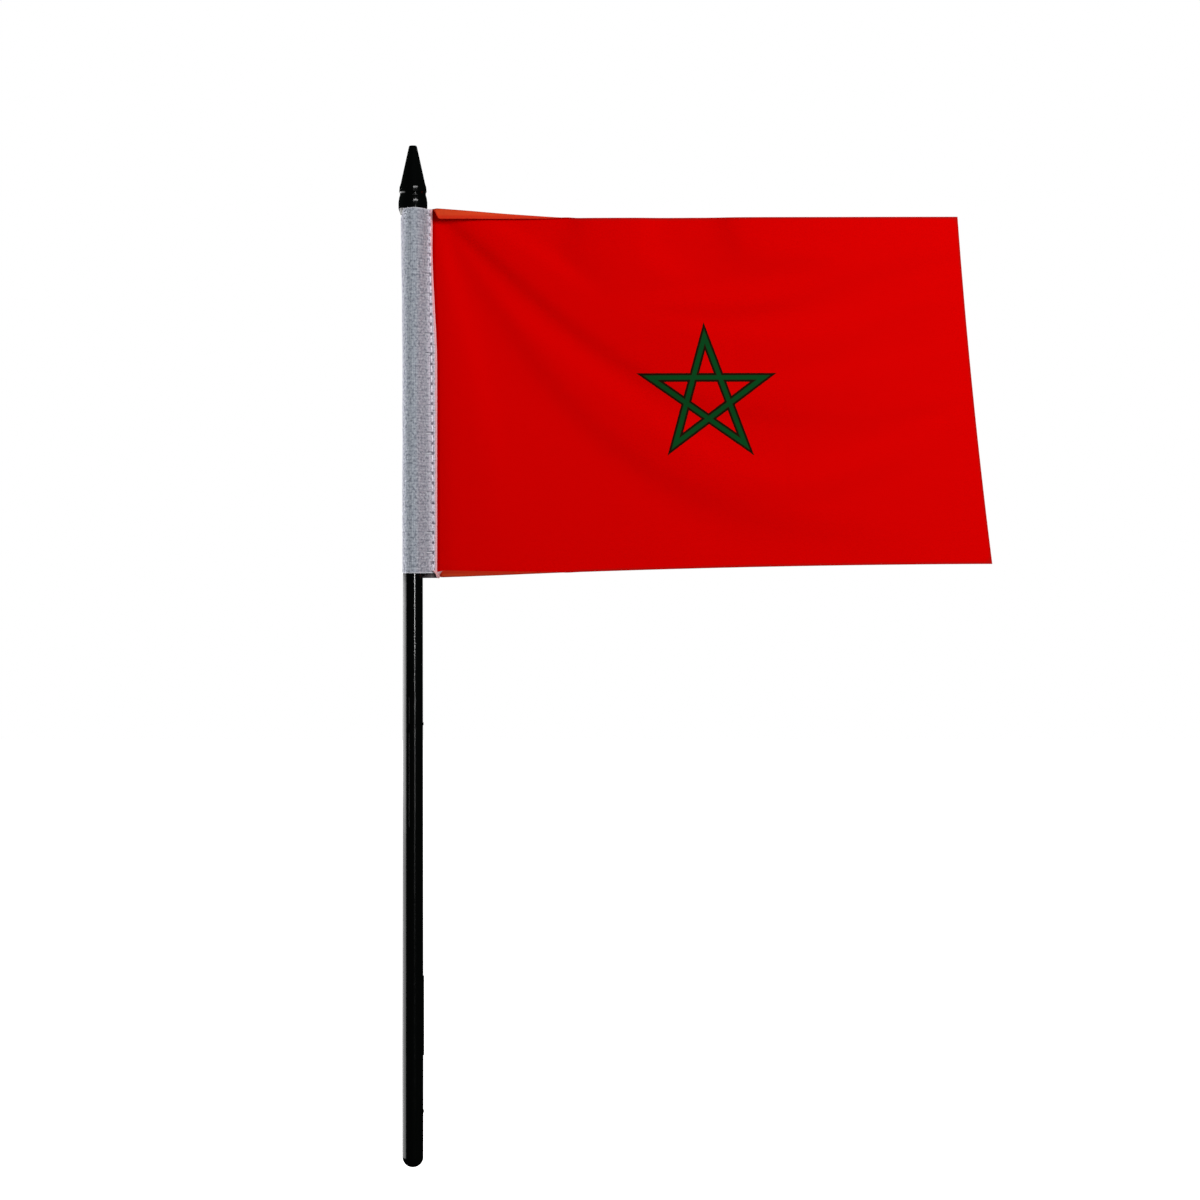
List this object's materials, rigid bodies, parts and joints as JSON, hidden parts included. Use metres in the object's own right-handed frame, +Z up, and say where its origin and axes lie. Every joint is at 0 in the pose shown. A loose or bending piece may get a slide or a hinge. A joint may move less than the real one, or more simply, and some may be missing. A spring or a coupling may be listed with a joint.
{
  "type": "small staff flag",
  "caption": "Small printed cloth flag sewn into a white sleeve that turns on a round plastic staff with a pointed push-on cap.",
  "frame": {"origin": "on the staff's axis, where the rounded foot meets the straight plug-in length", "axes": "+Z up along the staff, +X from the staff towards the panel's fly edge, -Y out of the printed face"},
  "size_m": [0.1633, 0.0088, 0.2805],
  "materials": {
    "black_plastic": "smooth moulded gloss",
    "white_tape": "thin plain-woven white tape",
    "printed_cloth": "thin woven polyester, printed red",
    "white_thread": "twisted sewing thread"
  },
  "bodies": {
    "staff": {"staff": "black_plastic"},
    "cap": {"finial_cap": "black_plastic"},
    "sleeve": {"heading_sleeve": "white_tape", "hoist_margin": "printed_cloth", "needle_stitches": "white_thread", "bobbin_stitches": "white_thread", "thread_tail": "white_thread"},
    "panel": {"flag_panel": "printed_cloth"}
  },
  "joints": [
    {"name": "flag_turn", "type": "hinge", "parent": "staff", "child": "sleeve", "pos_m": [0, 0, 0.2], "axis": [0, 0, 1], "continuous": true},
    {"name": "panel_swing", "type": "hinge", "parent": "sleeve", "child": "panel", "pos_m": [0.0071, 0, 0.21], "axis": [0, 0, 1], "range_deg": [-80, 80]},
    {"name": "finial_pull", "type": "slide", "parent": "staff", "child": "cap", "axis": [0, 0, 1], "range_m": [0, 0.01]}
  ]
}
